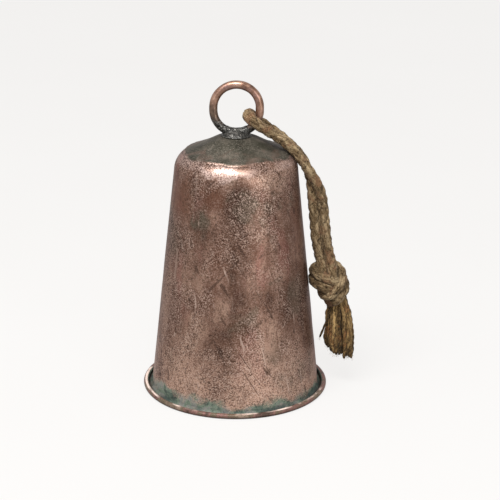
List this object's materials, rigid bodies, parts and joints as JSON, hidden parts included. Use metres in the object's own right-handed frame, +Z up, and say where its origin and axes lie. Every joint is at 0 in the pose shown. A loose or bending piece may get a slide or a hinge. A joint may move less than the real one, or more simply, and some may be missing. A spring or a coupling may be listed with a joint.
{
  "type": "dinner bell",
  "caption": "Tapered sheet-metal dinner bell with a rolled rim, a domed crown, a fixed hanging ring, a linked clapper and a knotted jute pull rope with a tassel.",
  "frame": {"origin": "centre of the rim's resting plane, on the bell's axis", "axes": "+Z up along the bell's axis to the hanging ring, +X to the side where the rope hangs, -Y to the front"},
  "size_m": [0.2116, 0.184, 0.3108],
  "materials": {
    "bell_shell": "mottled antique copper patina on steel sheet",
    "rim_wire": "plain drawn wire",
    "crown_disc": "dark olive grey patina on steel sheet",
    "crown_braze": "dull brazed bead",
    "hanging_ring": "copper brown patina on round steel bar",
    "ring_braze": "dark speckled braze",
    "clapper_staple": "dull dark wire",
    "staple_braze": "dull brazed bead",
    "clapper_link": "dull dark wire",
    "clapper_rod": "dull dark bar",
    "clapper_bob": "dark cast iron",
    "bob_nuts": "dull zinc",
    "bob_washers": "dull zinc",
    "rope_loop": "natural jute",
    "rope_knot": "natural jute",
    "rope_tassel": "combed natural jute"
  },
  "bodies": {
    "bell": {"bell_shell": "bell_shell", "rim_wire": "rim_wire", "crown_disc": "crown_disc", "crown_braze": "crown_braze", "hanging_ring": "hanging_ring", "ring_braze": "ring_braze", "clapper_staple": "clapper_staple", "staple_braze": "staple_braze", "rope_loop": "rope_loop", "rope_knot": "rope_knot", "rope_tassel": "rope_tassel"},
    "link": {"clapper_link": "clapper_link"},
    "clapper": {"clapper_rod": "clapper_rod", "clapper_bob": "clapper_bob", "bob_nuts": "bob_nuts", "bob_washers": "bob_washers"}
  },
  "joints": [
    {"name": "link_twist", "type": "hinge", "parent": "bell", "child": "link", "pos_m": [0, 0, 0.236], "axis": [0, 0, 1], "range_deg": [-35, 35]},
    {"name": "clapper_swing", "type": "hinge", "parent": "link", "child": "clapper", "pos_m": [0, 0, 0.222], "axis": [0, 1, 0], "range_deg": [-18, 18]}
  ]
}
